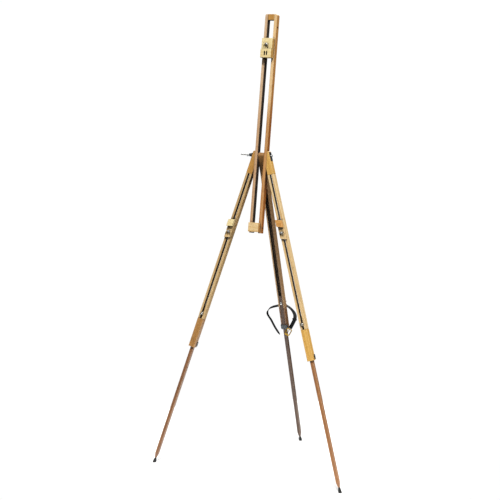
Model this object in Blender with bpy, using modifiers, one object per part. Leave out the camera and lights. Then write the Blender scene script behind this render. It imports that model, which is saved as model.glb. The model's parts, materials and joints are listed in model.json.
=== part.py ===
"""Folding wooden field easel: a slotted mast and three telescopic legs on one long hub bolt.

Metres, +Z up, front towards -Y. The origin is on the floor, midway between the feet.
Each leg is drawn in its own frame: Z up along the leg, X across it, -Y towards the face
that carries its wing nut. The channel for the extension opens at the leg's +Y face.
"""

import math

import bmesh
import bpy
from mathutils import Matrix, Vector

# Stance
HUB_HEIGHT = 1.224  # floor to the hub bolt
FRONT_REACH = 0.155  # hub to the front feet, forwards
REAR_REACH = 0.372  # hub to the rear foot, backwards
FOOT_SPREAD = 0.400  # middle plane to a front foot
HEAD_SPREAD = 0.0235  # middle plane to a front leg's centre line, level with the bolt
MAST_LEAN = math.radians(9.65)
REAR_SWING = math.radians(23.0)  # what the rear leg swings forwards
FOLD_LEFT_OVER = math.radians(0.6)  # a folded front leg stops this far from parallel

# Legs
LEG_WIDTH = 0.025
LEG_DEPTH = 0.022
FRONT_OUTER_LENGTH = 0.790  # hub bolt to the end of the outer leg
REAR_OUTER_LENGTH = 0.748
HEAD_RISE = 0.0145  # wood of a front head above the bolt
HEAD_LENGTH = 0.074  # solid wood from the bolt to the top of the slot
FRONT_FOOT_BLOCK = 0.120  # solid wood below the slot
REAR_FOOT_BLOCK = 0.098
SLOT_WIDTH = 0.0065
EXTENSION_SIZE = 0.013
EXTENSION_CHAMFER = 0.0009
EXTENSION_LAP = 0.031  # extension above its clamp bolt
CLAMP_ABOVE_BLOCK = 0.020
GUIDE_HEIGHT = 0.018
GUIDE_ABOVE_END = 0.004
GUIDE_SIDE = 0.008  # how far it reaches along the sides of the leg
SHEET = 0.0012  # steel sheet of guides and head plates
PENCIL_LENGTH = 0.019
PENCIL_END = 0.0066
TIP_HEIGHT = 0.020
TIP_TOP_RADIUS = 0.0038
TIP_FOOT_RADIUS = 0.0066
SPIGOT_SIZE = 0.0034
SPIGOT_LENGTH = 0.009

# Mast
RAIL_WIDTH = 0.012
RAIL_DEPTH = 0.022
MAST_UP = 0.533  # hub bolt to the top
MAST_DOWN = 0.295
MAST_CORNER = 0.0065
TOP_BLOCK_HEIGHT = 0.022
FOOT_LEDGE_HEIGHT = 0.035
FOOT_LEDGE_DEPTH = 0.019
FOOT_LEDGE_ABOVE_END = 0.004
FOOT_LEDGE_INSET = 0.004  # the ledge is this much narrower than the mast on each side
SPACER_DEPTH = 0.012
CLAMP_BLOCK_BASE = 0.400  # hub bolt to the lower edge of the clamp block
CLAMP_BLOCK_HEIGHT = 0.040
CLAMP_BLOCK_DEPTH = 0.019
CLAMP_LIP_HEIGHT = 0.034
CLAMP_LIP_DEPTH = 0.025
CLAMP_INSET = 0.003
CLAMP_BOLT_RISE = 0.017  # above the lower edge of the clamp block
CLAMP_TONGUE_DEPTH = 0.008
BACK_PLATE_DEPTH = 0.006
BACK_PLATE_HEIGHT = 0.034
LIP_SCREW_SPACING = 0.009
LIP_SCREW_RADIUS = 0.0024

# Canvas holders on the front legs
LEFT_HOLDER_BOLT = 0.309  # hub bolt to the holder's bolt, along the leg
RIGHT_HOLDER_BOLT = 0.299
HOLDER_ABOVE_BOLT = 0.049
HOLDER_BELOW_BOLT = 0.024
HOLDER_THICKNESS = 0.008
HOLDER_INSET = 0.0005
LEDGE_HEIGHT = 0.027
LEDGE_DEPTH = 0.012

# Hardware
BOLT_RADIUS = 0.0025
BOLT_HEAD_RADIUS = 0.0055
BOLT_HEAD_HEIGHT = 0.003
BOLT_PAST_NUT = 0.003
BUSH_WALL = 0.0012
HUB_BOLT_SPARE = 0.036  # bare thread that lets the heads spread when the legs fold
WASHER_RADIUS = 0.008
WASHER_THICKNESS = 0.0015
HEAD_PLATE_WIDTH = 0.016
HEAD_PLATE_LENGTH = 0.034
NUT_HEIGHT = 0.008
NUT_BASE_RADIUS = 0.0055
NUT_TOP_RADIUS = 0.0044
HUB_NUT_SCALE = 1.3  # the hub's wing nut is larger than the others
WING_SPAN = 0.0245
WING_HEIGHT = 0.0125
WING_THICKNESS = 0.0022

# Leather strap
STRAP_FROM_END = 0.091  # strap screw above the end of the rear outer leg
STRAP_WIDTH = 0.015
STRAP_THICKNESS = 0.0022
STRAP_SCREW_RADIUS = 0.002
STRAP_SCREW_HEAD = 0.0042
BUCKLE_WIDTH = 0.0235
BUCKLE_LENGTH = 0.026
BUCKLE_BAR = 0.0042
BUCKLE_EDGE = 0.0004
PRONG_RADIUS = 0.0010

EDGE = 0.0007  # rounding of the wooden edges
SOFT_EDGE = 0.0010  # and of the pieces that hold the canvas

# Clearances
TOUCH = 0.0003  # between pieces that touch
RUN = 0.0003  # round what slides or turns
SIDE_PLAY = 0.0005  # between the rear leg and the mast rails

# Worked out from the above
HUB_Y = (FRONT_REACH - REAR_REACH) / 2
FRONT_LEAN = math.atan2(FRONT_REACH, HUB_HEIGHT)
REAR_LEAN = math.atan2(REAR_REACH, HUB_HEIGHT)
SPLAY = math.atan2(FOOT_SPREAD - HEAD_SPREAD, math.hypot(FRONT_REACH, HUB_HEIGHT))
FOLD = SPLAY - FOLD_LEFT_OVER
MAST_GAP = LEG_WIDTH + 2 * SIDE_PLAY
MAST_HALF = MAST_GAP / 2 + RAIL_WIDTH
PIVOT_X = MAST_HALF + TOUCH
PIVOT_DROP = (PIVOT_X - HEAD_SPREAD + LEG_WIDTH / 2 / math.cos(SPLAY)) / math.tan(SPLAY)
BOLT_ON_LEG = PIVOT_DROP * math.cos(SPLAY) + (PIVOT_X - HEAD_SPREAD) * math.sin(SPLAY)
CHANNEL_WIDTH = EXTENSION_SIZE + 2 * RUN
CHANNEL_DEPTH = EXTENSION_SIZE + 2 * RUN
WEB = LEG_DEPTH - CHANNEL_DEPTH
CHANNEL_HEAD_RADIUS = CHANNEL_WIDTH / 2 - EDGE - TOUCH  # a bolt head that slides in the channel
EXTENSION_Y = LEG_DEPTH / 2 - RUN - EXTENSION_SIZE / 2
BORE_RADIUS = BOLT_RADIUS + RUN
BUSH_INNER = BOLT_RADIUS + RUN
BUSH_RADIUS = BUSH_INNER + BUSH_WALL
BUSH_BORE = BUSH_RADIUS + RUN
ROUND = 20  # sides of a turned piece

parts = bpy.data.collections.new("artist_easel")
cutters = bpy.data.collections.new("cutters")
materials = {}


def make_materials():
    looks = {
        "beech_pale": ((0.80, 0.62, 0.38), 0.5, 0.0),
        "beech_honey": ((0.62, 0.38, 0.15), 0.5, 0.0),
        "beech_brown": ((0.40, 0.22, 0.10), 0.55, 0.0),
        "steel": ((0.42, 0.44, 0.46), 0.35, 1.0),
        "brass": ((0.72, 0.60, 0.25), 0.3, 1.0),
        "rubber": ((0.02, 0.02, 0.02), 0.8, 0.0),
        "leather": ((0.02, 0.025, 0.03), 0.6, 0.0),
    }
    for name, (colour, roughness, metallic) in looks.items():
        made = bpy.data.materials.new(name)
        made.use_nodes = True
        shader = made.node_tree.nodes["Principled BSDF"]
        shader.inputs["Base Color"].default_value = (*colour, 1.0)
        shader.inputs["Roughness"].default_value = roughness
        shader.inputs["Metallic"].default_value = metallic
        made.diffuse_color = (*colour, 1.0)
        materials[name] = made


def frame(name, parent, matrix):
    """An empty that holds a local frame, with its world matrix kept on the object."""
    empty = bpy.data.objects.new(name, None)
    empty.empty_display_size = 0.02
    parts.objects.link(empty)
    empty.parent = parent
    empty.matrix_local = matrix
    bpy.context.view_layer.update()
    return empty


def own(obj, parent, look):
    """Puts a finished object in the parts collection, under its frame and with its material."""
    parts.objects.link(obj)
    obj.parent = parent
    if not obj.data.materials:
        obj.data.materials.append(materials[look])
    return obj


def mesh_object(name, bm):
    mesh = bpy.data.meshes.new(name)
    bm.to_mesh(mesh)
    bm.free()
    return bpy.data.objects.new(name, mesh)


def round_edges(obj, width, segments=1):
    bevel = obj.modifiers.new("round_edges", "BEVEL")
    bevel.width = width
    bevel.segments = segments
    bevel.limit_method = "ANGLE"
    bevel.angle_limit = math.radians(40)


def box(name, low, high, parent, look, edge=0.0):
    low, high = Vector(low), Vector(high)
    bm = bmesh.new()
    bmesh.ops.create_cube(bm, size=1.0)
    bmesh.ops.scale(bm, vec=high - low, verts=bm.verts)
    bmesh.ops.translate(bm, vec=(low + high) / 2, verts=bm.verts)
    obj = own(mesh_object(name, bm), parent, look)
    if edge:
        round_edges(obj, edge)
    return obj


def arc(centre, radius, start, end, steps):
    """Points on an arc, with both ends, angles in degrees."""
    angles = [math.radians(start + (end - start) * i / steps) for i in range(steps + 1)]
    return [(centre[0] + radius * math.cos(a), centre[1] + radius * math.sin(a)) for a in angles]


AXES = {
    "Z": Matrix.Identity(3),
    "Y": Matrix(((1, 0, 0), (0, 0, -1), (0, 1, 0))),  # outline drawn as X, Z
    "X": Matrix(((0, 0, 1), (1, 0, 0), (0, 1, 0))),  # outline drawn as Y, Z
}


def flat_mesh(name, outlines, thickness, axis):
    """The mesh of an outline, with holes after it, extruded half its thickness each way."""
    curve = bpy.data.curves.new(name, "CURVE")
    curve.dimensions = "2D"
    curve.fill_mode = "BOTH"
    curve.extrude = thickness / 2
    for outline in outlines:
        spline = curve.splines.new("POLY")
        spline.points.add(len(outline) - 1)
        for point, (x, y) in zip(spline.points, outline):
            point.co = (x, y, 0, 1)
        spline.use_cyclic_u = True
    drawn = bpy.data.objects.new(name, curve)
    parts.objects.link(drawn)
    evaluated = drawn.evaluated_get(bpy.context.evaluated_depsgraph_get())
    bm = bmesh.new()
    bm.from_mesh(bpy.data.meshes.new_from_object(evaluated))
    bpy.data.objects.remove(drawn)
    bmesh.ops.remove_doubles(bm, verts=bm.verts, dist=1e-6)
    flat = math.radians(0.5)
    bmesh.ops.dissolve_limit(bm, angle_limit=flat, verts=bm.verts, edges=bm.edges)
    bmesh.ops.recalc_face_normals(bm, faces=bm.faces)
    bmesh.ops.transform(bm, matrix=AXES[axis].to_4x4(), verts=bm.verts)
    return bm


def flat_piece(name, outlines, thickness, axis, centre, parent, look, edge=0.0):
    """A flat outline extruded along an axis, with its middle moved along that axis to the centre."""
    bm = flat_mesh(name, outlines, thickness, axis)
    bmesh.ops.translate(bm, vec=AXES[axis] @ Vector((0, 0, centre)), verts=bm.verts)
    obj = own(mesh_object(name, bm), parent, look)
    if edge:
        round_edges(obj, edge)
    return obj


def turned(name, profile, closed=False):
    """A profile of (radius, height), outer side from the top down, turned about Z."""
    mesh = bpy.data.meshes.new(name)
    count = len(profile)
    edges = [(i, (i + 1) % count) for i in range(count if closed else count - 1)]
    mesh.from_pydata([(r, 0, z) for r, z in profile], edges, [])
    obj = bpy.data.objects.new(name, mesh)
    screw = obj.modifiers.new("turn", "SCREW")
    screw.axis = "Z"
    screw.steps = screw.render_steps = ROUND
    screw.use_merge_vertices = True
    screw.merge_threshold = 1e-5
    screw.use_smooth_shade = True
    return obj


def cutter(obj, parent):
    cutters.objects.link(obj)
    obj.parent = parent
    obj.hide_render = True
    obj.display_type = "WIRE"
    return obj


def round_cutter(name, radius, length, axis, location, parent):
    bm = bmesh.new()
    bmesh.ops.create_cone(
        bm, cap_ends=True, segments=ROUND, radius1=radius, radius2=radius, depth=length
    )
    bmesh.ops.transform(bm, matrix=AXES[axis].to_4x4(), verts=bm.verts)
    obj = cutter(mesh_object(name, bm), parent)
    obj.location = location
    return obj


def cut(obj, tool):
    boolean = obj.modifiers.new("cut_" + tool.name, "BOOLEAN")
    boolean.operation = "DIFFERENCE"
    boolean.solver = "EXACT"
    boolean.object = tool


def tapered_stick(stations, chamfer):
    """A square stick with chamfered corners through (height, size) stations from the top down."""
    near, far = 0.5 - chamfer, 0.5
    corners = [(far, -near), (far, near), (near, far), (-near, far)]
    corners += [(-x, -y) for x, y in corners]
    bm = bmesh.new()
    rings = [[bm.verts.new((x * size, y * size, z)) for x, y in corners] for z, size in stations]
    for above, below in zip(rings, rings[1:]):
        for i in range(8):
            j = (i + 1) % 8
            bm.faces.new((above[i], below[i], below[j], above[j]))
    bm.faces.new(rings[0])
    bm.faces.new(rings[-1][::-1])
    bmesh.ops.recalc_face_normals(bm, faces=bm.faces)
    return bm


def baked(obj):
    """The object's mesh with its modifiers applied."""
    bpy.context.view_layer.update()
    evaluated = obj.evaluated_get(bpy.context.evaluated_depsgraph_get())
    return bpy.data.meshes.new_from_object(evaluated)


def distance_to_floor(leg, y):
    """How far the line at this Y of a leg's frame runs down to the floor."""
    return (leg.matrix_world @ Vector((0, y, 0))).z / leg.matrix_world.col[2].z


# Hardware -----------------------------------------------------------------------------------


def make_wing_nut_mesh(scale=1.0):
    """Seat at Z = 0, wings rising away from it along X. The bore keeps its size."""
    tall, top, base = NUT_HEIGHT * scale, NUT_TOP_RADIUS * scale, NUT_BASE_RADIUS * scale
    hub = turned(
        "wing_nut_hub",
        [
            (BORE_RADIUS, tall),
            (top, tall),
            (base, 0.0015 * scale),
            (base, 0),
            (BORE_RADIUS, 0),
        ],
        closed=True,
    )
    parts.objects.link(hub)
    half, tip, lobe = WING_SPAN / 2 * scale, WING_HEIGHT * scale, 0.0030 * scale
    root = BORE_RADIUS + 0.0008
    wing = [(root, 0.0016 * scale), (half * 0.62, 0.0030 * scale)]
    wing += arc((half - lobe, tip - lobe), lobe, -40, 150, 6)
    wing += [(half * 0.48, tall + 0.0006), (root, tall - 0.0008)]
    for side in (1, -1):
        outline = [(side * x, z) for x, z in wing]
        bm = flat_mesh("wing", [outline], WING_THICKNESS * scale, "Y")
        blade = cutter(mesh_object("wing_nut_blade", bm), None)
        join = hub.modifiers.new("join_wing", "BOOLEAN")
        join.operation = "UNION"
        join.solver = "EXACT"
        join.object = blade
    mesh = baked(hub)
    bpy.data.objects.remove(hub)
    for blade in [o for o in bpy.data.objects if o.name.startswith("wing_nut_blade")]:
        bpy.data.objects.remove(blade)
    mesh.shade_smooth()
    mesh.set_sharp_from_angle(angle=math.radians(35))
    mesh.materials.clear()
    mesh.materials.append(materials["steel"])
    return mesh


def wing_nut(name, mesh, parent, location, rotation):
    """A wing nut on its own origin, which lies on the bolt's axis."""
    obj = own(bpy.data.objects.new(name, mesh), parent, "steel")
    obj.location = location
    obj.rotation_euler = rotation
    return obj


def bolt(name, length, parent, location, rotation, head_radius=BOLT_HEAD_RADIUS):
    """A round-headed bolt: the head sits above Z = 0 and the shank runs down."""
    r, h = head_radius, BOLT_HEAD_HEIGHT
    dome = [(0, h), (r * 0.45, h * 0.93), (r * 0.8, h * 0.68), (r, h * 0.25), (r, 0)]
    shank = [(BOLT_RADIUS, 0), (BOLT_RADIUS, 0.0004 - length), (BOLT_RADIUS - 0.0004, -length)]
    obj = own(turned(name, dome + shank + [(0, -length)]), parent, "steel")
    obj.location = location
    obj.rotation_euler = rotation
    return obj


def across_front(angle):
    """Rotation that points a turned piece's Z along -Y, turned by an angle about it."""
    return (Matrix.Rotation(math.pi / 2, 4, "X") @ Matrix.Rotation(angle, 4, "Z")).to_euler()


# Legs ---------------------------------------------------------------------------------------


def make_outer_leg(side, leg, outer_length, foot_block, look):
    """The two slotted rails, the solid block below them and the steel guide at its end."""
    w, d = LEG_WIDTH / 2, LEG_DEPTH / 2
    s, c = SLOT_WIDTH / 2, CHANNEL_WIDTH / 2
    back = -d + WEB
    slot_end = -(outer_length - foot_block)
    top = -HEAD_LENGTH - TOUCH
    for rail, turn in (("left_rail", -1), ("right_rail", 1)):
        section = [(s, -d), (w, -d), (w, d), (c, d), (c, back), (s, back)]
        outline = [(turn * x, y) for x, y in section]
        length = top - slot_end - TOUCH
        middle = (top + slot_end + TOUCH) / 2
        name = f"{side}_leg_{rail}"
        flat_piece(name, [outline], length, "Z", middle, leg, look, edge=EDGE)
    block = [(-w, -d), (w, -d), (w, d), (c, d), (c, back), (-c, back), (-c, d), (-w, d)]
    middle = slot_end - foot_block / 2
    look_block = "beech_honey" if look != "beech_brown" else look
    name = f"{side}_leg_lower_block"
    flat_piece(name, [block], foot_block, "Z", middle, leg, look_block, edge=EDGE)
    inner, outer = w + TOUCH, w + TOUCH + SHEET
    wrap, tab = d + TOUCH, d - GUIDE_SIDE
    clip = [(-inner, tab), (-inner, wrap), (inner, wrap), (inner, tab)]
    clip += [(outer, tab), (outer, wrap + SHEET), (-outer, wrap + SHEET), (-outer, tab)]
    middle = -outer_length + GUIDE_ABOVE_END + GUIDE_HEIGHT / 2
    flat_piece(f"{side}_leg_guide", [clip], GUIDE_HEIGHT, "Z", middle, leg, "steel")


def make_extension(side, leg, outer_length, foot_block, nut_mesh, nut_turn, look):
    """The sliding leg with its clamp bolt, wing nut and rubber tip."""
    slide = frame(f"{side}_extension_slide", leg, Matrix.Translation((0, EXTENSION_Y, 0)))
    clamp = -(outer_length - foot_block) + CLAMP_ABOVE_BLOCK
    floor = distance_to_floor(leg, EXTENSION_Y)
    tip_top = -floor + TIP_HEIGHT
    half = EXTENSION_SIZE / 2
    shoulder = tip_top + TOUCH
    stations = [
        (clamp + EXTENSION_LAP, EXTENSION_SIZE),
        (shoulder + PENCIL_LENGTH, EXTENSION_SIZE),
        (shoulder, PENCIL_END),
        (shoulder, SPIGOT_SIZE),
        (shoulder - SPIGOT_LENGTH, SPIGOT_SIZE * 0.9),
    ]
    bm = tapered_stick(stations, EXTENSION_CHAMFER / EXTENSION_SIZE)
    name = f"{side}_extension"
    extension = own(mesh_object(name, bm), slide, look)
    bore = round_cutter(
        f"{side}_clamp_bore", BORE_RADIUS, 2 * LEG_DEPTH, "Y", (0, 0, clamp), slide
    )
    cut(extension, bore)

    front = -LEG_DEPTH / 2 - EXTENSION_Y
    reach = half - front + 2 * TOUCH + NUT_HEIGHT + BOLT_PAST_NUT
    place = (0, half + TOUCH, clamp)
    bolt(f"{side}_clamp_bolt", reach, slide, place, (-math.pi / 2, 0, 0))
    place = (0, front - TOUCH, clamp)
    wing_nut(f"{side}_clamp_wing_nut", nut_mesh, slide, place, across_front(nut_turn))

    bore = SPIGOT_SIZE / math.sqrt(2) + RUN
    profile = [
        (0, -SPIGOT_LENGTH - RUN),
        (bore, -SPIGOT_LENGTH - RUN),
        (bore, 0),
        (TIP_TOP_RADIUS, 0),
        (TIP_TOP_RADIUS + 0.0008, -0.004),
        (TIP_FOOT_RADIUS, -TIP_HEIGHT + 0.004),
        (TIP_FOOT_RADIUS, -TIP_HEIGHT - TIP_FOOT_RADIUS),
        (0, -TIP_HEIGHT - TIP_FOOT_RADIUS),
    ]
    tip = own(turned(f"{side}_rubber_tip", profile), slide, "rubber")
    tip.location = (0, 0, tip_top)
    cut(tip, bpy.data.objects["floor_cutter"])
    return slide


def make_floor_cutter():
    """Everything below the floor, so that the rubber tips stand flat."""
    bm = bmesh.new()
    bmesh.ops.create_cube(bm, size=1.0)
    side = 2 * (FOOT_SPREAD + REAR_REACH)
    bmesh.ops.scale(bm, vec=(side, side, 0.1), verts=bm.verts)
    bmesh.ops.translate(bm, vec=(0, 0, -0.05), verts=bm.verts)
    cutter(mesh_object("floor_cutter", bm), None)


def bolt_slot():
    """Heights on a front leg, above its pivot, that the hub bolt sweeps as the leg folds."""
    through = LEG_WIDTH + TOUCH + SHEET
    lowest = PIVOT_DROP / math.cos(SPLAY) - through * math.tan(SPLAY)
    highest = PIVOT_DROP * math.cos(SPLAY - FOLD)
    reach = BORE_RADIUS / math.cos(SPLAY) + RUN
    return lowest - reach, highest + reach


def make_front_head(side, sign, leg):
    """The leg's solid top, bevelled to bear on the mast, with its steel plate on the outer side."""
    w = LEG_WIDTH / 2
    bevel_start = -BOLT_ON_LEG
    top = HEAD_RISE
    corner = 0.004
    inner_top = w - (top - bevel_start) * math.tan(SPLAY)
    outline = [(-w, -HEAD_LENGTH), (w, -HEAD_LENGTH), (w, bevel_start)]
    outline += [(inner_top, top), *arc((-w + corner, top - corner), corner, 90, 180, 4)]
    outline = [(-sign * x, z) for x, z in outline]
    head = flat_piece(
        f"{side}_leg_head", [outline], LEG_DEPTH, "Y", 0, leg, "beech_honey", edge=EDGE
    )
    low, high = (z - BOLT_ON_LEG for z in bolt_slot())
    slot_half = (high - low) / 2 - BORE_RADIUS
    middle = (high + low) / 2
    ends = arc((0, slot_half), BORE_RADIUS, 0, 180, 6)
    ends += arc((0, -slot_half), BORE_RADIUS, 180, 360, 6)
    bm = flat_mesh("slot", [ends], 3 * LEG_WIDTH, "X")
    tool = cutter(mesh_object(f"{side}_head_slot", bm), leg)
    tool.location = (0, 0, middle)
    cut(head, tool)

    pw, pl, r = HEAD_PLATE_WIDTH / 2, HEAD_PLATE_LENGTH / 2, 0.003
    plate = arc((pw - r, pl - r), r, 0, 90, 3) + arc((r - pw, pl - r), r, 90, 180, 3)
    plate += arc((r - pw, r - pl), r, 180, 270, 3) + arc((pw - r, r - pl), r, 270, 360, 3)
    plate_middle = HEAD_RISE - corner - pl
    plate = [(y, z + plate_middle) for y, z in plate]
    hole = [(y, z + middle) for y, z in ends]
    centre = sign * (w + TOUCH + SHEET / 2)
    flat_piece(f"{side}_head_plate", [plate, hole], SHEET, "X", centre, leg, "steel")


def make_holder(side, sign, leg, nut_mesh, nut_turn):
    """The canvas holder: a plate that slides on the leg, with a level ledge across its top."""
    height = -LEFT_HOLDER_BOLT if side == "left" else -RIGHT_HOLDER_BOLT
    slide = frame(f"{side}_holder_slide", leg, Matrix.Translation((0, 0, height)))
    w = LEG_WIDTH / 2 - HOLDER_INSET
    rise = -sign * math.tan(SPLAY)  # level lines climb this much across the slanting leg

    def level(bottom, top):
        return [(x, z + rise * x) for x, z in ((-w, bottom), (w, bottom), (w, top), (-w, top))]

    face = -LEG_DEPTH / 2 - TOUCH
    plate = flat_piece(
        f"{side}_holder_plate",
        [level(-HOLDER_BELOW_BOLT, HOLDER_ABOVE_BOLT)],
        HOLDER_THICKNESS,
        "Y",
        -(face - HOLDER_THICKNESS / 2),
        slide,
        "beech_pale",
        edge=EDGE,
    )
    bore = round_cutter(
        f"{side}_holder_bore", BORE_RADIUS, 3 * LEG_DEPTH, "Y", (0, 0, 0), slide
    )
    cut(plate, bore)
    front = face - HOLDER_THICKNESS
    flat_piece(
        f"{side}_holder_ledge",
        [level(HOLDER_ABOVE_BOLT - LEDGE_HEIGHT, HOLDER_ABOVE_BOLT)],
        LEDGE_DEPTH,
        "Y",
        -(front - TOUCH - LEDGE_DEPTH / 2),
        slide,
        "beech_pale",
        edge=EDGE,
    )
    back = -LEG_DEPTH / 2 + WEB + RUN
    reach = back - front + TOUCH + NUT_HEIGHT + BOLT_PAST_NUT
    place, turn = (0, back, 0), (-math.pi / 2, 0, 0)
    bolt(f"{side}_holder_bolt", reach, slide, place, turn, CHANNEL_HEAD_RADIUS)
    place = (0, front - TOUCH, 0)
    wing_nut(f"{side}_holder_wing_nut", nut_mesh, slide, place, across_front(nut_turn))


def make_front_leg(side, sign, plane, nut_mesh, turns):
    """One front leg: its pivot is the edge where the head's bevel meets its straight inner side."""
    place = Matrix.Translation((sign * PIVOT_X, 0, -PIVOT_DROP))
    turn = Matrix.Rotation(-sign * SPLAY, 4, "Y")
    pivot = frame(f"{side}_leg_pivot", plane, place @ turn)
    leg = frame(
        f"{side}_leg_axis", pivot, Matrix.Translation((sign * LEG_WIDTH / 2, 0, BOLT_ON_LEG))
    )
    make_front_head(side, sign, leg)
    make_outer_leg(side, leg, FRONT_OUTER_LENGTH, FRONT_FOOT_BLOCK, "beech_pale")
    make_extension(
        side, leg, FRONT_OUTER_LENGTH, FRONT_FOOT_BLOCK, nut_mesh, turns[0], "beech_brown"
    )
    make_holder(side, sign, leg, nut_mesh, turns[1])


def make_rear_leg(hub, nut_mesh):
    """The rear leg turns between the mast rails; its channel faces forwards."""
    turn = Matrix.Rotation(REAR_LEAN, 4, "X") @ Matrix.Rotation(math.pi, 4, "Z")
    leg = frame("rear_leg_axis", hub, turn)
    d = LEG_DEPTH / 2
    outline = [(-d, -HEAD_LENGTH), (d, -HEAD_LENGTH), *arc((0, 0), d, 0, 180, 10)]
    head = flat_piece(
        "rear_leg_head", [outline], LEG_WIDTH, "X", 0, leg, "beech_brown", edge=EDGE
    )
    cut(head, round_cutter("rear_head_bore", BUSH_BORE, 2 * LEG_WIDTH, "X", (0, 0, 0), leg))
    make_outer_leg("rear", leg, REAR_OUTER_LENGTH, REAR_FOOT_BLOCK, "beech_brown")
    nut_turn = math.radians(20)
    make_extension(
        "rear", leg, REAR_OUTER_LENGTH, REAR_FOOT_BLOCK, nut_mesh, nut_turn, "beech_brown"
    )
    make_strap(leg)


# Strap --------------------------------------------------------------------------------------

# Run of the strap's middle line from the free tail over the screw to the buckle: across, back
# and up in metres, how much it still lies along the screw, and the twist of its face in degrees.
STRAP_RUN = [
    (-0.0219, 0, -0.122, 0.0, 0),
    (-0.0425, 0, -0.095, 0.0, 0),
    (-0.0604, 0, -0.066, 0.0, 0),
    (-0.0740, 0, -0.048, 0.0, 0),
    (-0.0775, 0, -0.036, 0.0, 0),
    (-0.0710, 0, -0.0225, 0.3, 14),
    (-0.0560, 0, -0.0125, 0.7, 16),
    (-0.0250, 0, -0.0030, 1.0, 10),
    (0.0000, 0, 0.0000, 1.0, 0),
    (0.0160, 0, -0.0045, 0.6, 0),
    (0.0290, 0, -0.0135, 0.2, 8),
    (0.0400, -0.002, -0.0240, 0.0, 22),
    (0.0470, -0.005, -0.0360, 0.0, 40),
    (0.0480, -0.009, -0.0490, 0.0, 55),
    (0.0430, -0.013, -0.0640, 0.0, 62),
    (0.0320, -0.019, -0.0880, 0.0, 66),
]


def smooth_run(points, parts_each):
    """A Catmull-Rom curve through the points, with parts_each steps between neighbours."""
    rows = [Vector(p) for p in points]
    rows = [2 * rows[0] - rows[1], *rows, 2 * rows[-1] - rows[-2]]
    made = []
    for a, b, c, d in zip(rows, rows[1:], rows[2:], rows[3:]):
        for i in range(parts_each):
            t = i / parts_each
            made.append(
                0.5 * (2 * b + (c - a) * t + (2 * a - 5 * b + 4 * c - d) * t**2)
                + 0.5 * (3 * b - a - 3 * c + d) * t**3
            )
    made.append(rows[-2])
    return made


def make_strap(leg):
    """A leather strap slung over a round-headed screw in the back of the rear leg."""
    face = -LEG_DEPTH / 2
    height = -REAR_OUTER_LENGTH + STRAP_FROM_END
    peg = STRAP_WIDTH + 0.004
    middle = Vector((0, face - TOUCH - 0.001 - STRAP_WIDTH / 2, height))
    r, head = STRAP_SCREW_RADIUS, STRAP_SCREW_HEAD
    profile = [(0, 0.0026), (head * 0.6, 0.0022), (head, 0.0006), (head, 0)]
    profile += [(r, 0), (r, -peg), (0, -peg)]
    screw = own(turned("strap_screw", profile), leg, "steel")
    screw.location = (0, face - TOUCH - peg, height)
    screw.rotation_euler = (math.pi / 2, 0, 0)

    lift = leg.matrix_world.to_3x3() @ Vector((0, 0, r + TOUCH + STRAP_THICKNESS / 2))
    hang = frame(
        "strap_hang",
        leg,
        leg.matrix_world.inverted() @ Matrix.Translation(leg.matrix_world @ middle + lift),
    )
    peg_line = (leg.matrix_world.to_3x3() @ Vector((0, -1, 0))).normalized()
    run = smooth_run(STRAP_RUN, 2)
    bm = bmesh.new()
    rings = []
    for i, (*centre, share, twist) in enumerate(run):
        ahead, behind = run[min(i + 1, len(run) - 1)], run[max(i - 1, 0)]
        along = (Vector(ahead[:3]) - Vector(behind[:3])).normalized()
        across = (peg_line * share + Vector((0, 1, 0)) * (1 - share)).normalized()
        across = (across - along * across.dot(along)).normalized()
        across = Matrix.Rotation(math.radians(twist), 3, along) @ across
        up = along.cross(across)
        half_w, half_t = across * STRAP_WIDTH / 2, up * STRAP_THICKNESS / 2
        centre = Vector(centre)
        corners = (half_w + half_t, half_w - half_t, -half_w - half_t, -half_w + half_t)
        rings.append([bm.verts.new(centre + corner) for corner in corners])
    for a, b in zip(rings, rings[1:]):
        for j in range(4):
            bm.faces.new((a[j], a[(j + 1) % 4], b[(j + 1) % 4], b[j]))
    bm.faces.new(rings[0])
    bm.faces.new(rings[-1][::-1])
    bmesh.ops.recalc_face_normals(bm, faces=bm.faces)
    own(mesh_object("leather_strap", bm), hang, "leather")
    make_buckle(hang, run)


def make_buckle(hang, run):
    """A brass frame that swings at the strap's end, with a prong across it."""
    end, before = run[-1], run[-2]
    along = (Vector(end[:3]) - Vector(before[:3])).normalized()
    across = Vector((0, 1, 0)) - along * along.y
    across = Matrix.Rotation(math.radians(end[4]), 3, along) @ across.normalized()
    half, length, bar = BUCKLE_WIDTH / 2, BUCKLE_LENGTH, BUCKLE_BAR
    place = Vector(end[:3]) + along * (bar * math.sqrt(0.5) + TOUCH)
    turn = Matrix((across, along, across.cross(along))).transposed().to_4x4()
    hinge = frame("buckle_hinge", hang, Matrix.Translation(place) @ turn)
    r = 1.5 * bar
    outer = [(-half, -bar / 2), (half, -bar / 2)]
    outer += arc((half - r, length - r), r, 0, 90, 3) + arc((r - half, length - r), r, 90, 180, 3)
    hole = half - bar
    inner = [(hole, bar / 2), (hole, length - bar), (-hole, length - bar), (-hole, bar / 2)]
    flat_piece("buckle_frame", [outer, inner], bar, "Z", 0, hinge, "brass", edge=BUCKLE_EDGE)
    r = PRONG_RADIUS
    reach = length - bar / 2 - r
    point = [(0, reach), (r, reach - 2 * r), (r, 0), (0, 0)]
    prong = own(turned("buckle_prong", point), hinge, "brass")
    prong.location = (0, r, bar / 2 + TOUCH + r)
    prong.rotation_euler = (-math.pi / 2, 0, 0)


# Mast ---------------------------------------------------------------------------------------


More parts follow.
